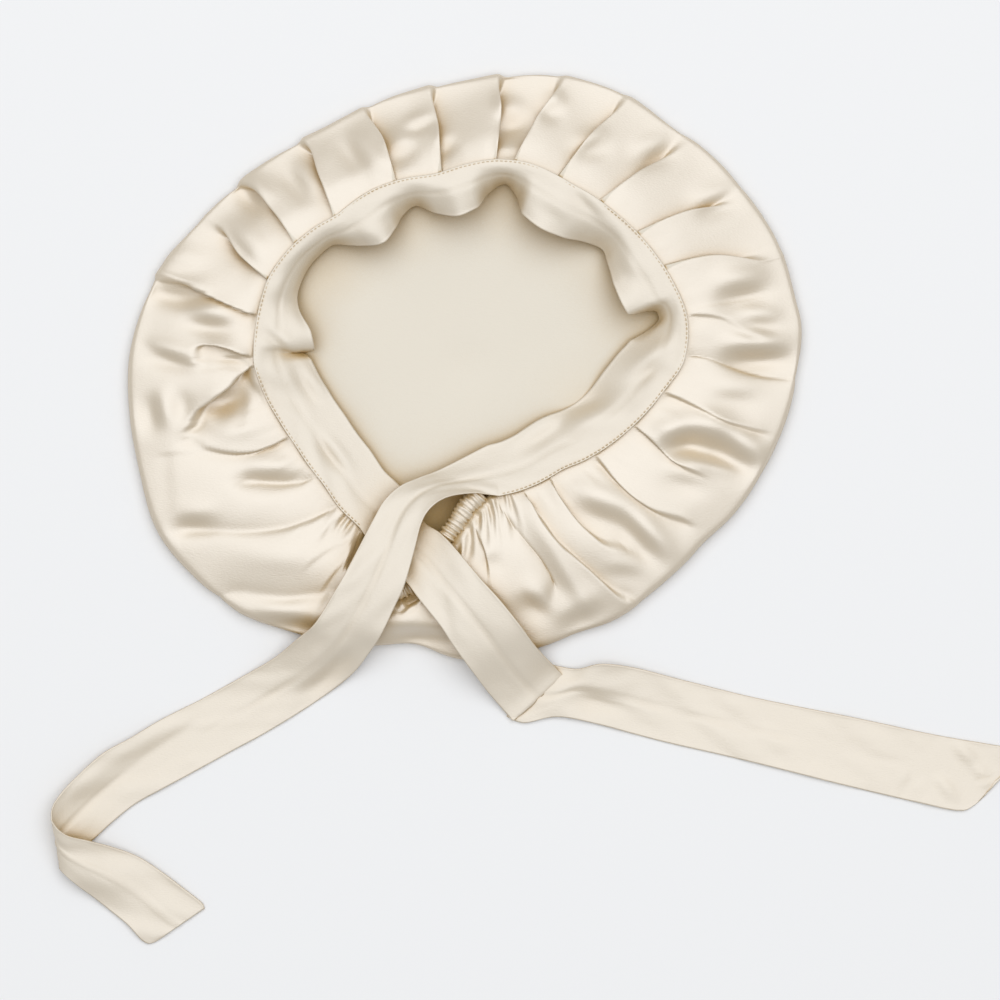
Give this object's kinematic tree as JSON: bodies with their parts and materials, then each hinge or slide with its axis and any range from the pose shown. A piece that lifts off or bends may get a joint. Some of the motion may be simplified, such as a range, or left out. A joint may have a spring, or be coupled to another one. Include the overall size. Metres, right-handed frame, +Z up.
{
  "type": "sleep bonnet",
  "caption": "Silk sleep bonnet lying open side up: a pleated hollow crown, a wavy brow band, a ruched nape casing and long ties.",
  "frame": {"origin": "under the middle of the crown, on the surface the bonnet lies on", "axes": "+Z up, out of the open mouth; the nape and the ties are towards -Y, the brow towards +Y"},
  "size_m": [0.4553, 0.3975, 0.0296],
  "materials": {
    "satin": "satin"
  },
  "bodies": {
    "root": {"crown": "satin", "brow_band": "satin", "nape_casing": "satin", "tie_left": "satin", "tie_right": "satin"}
  },
  "joints": []
}
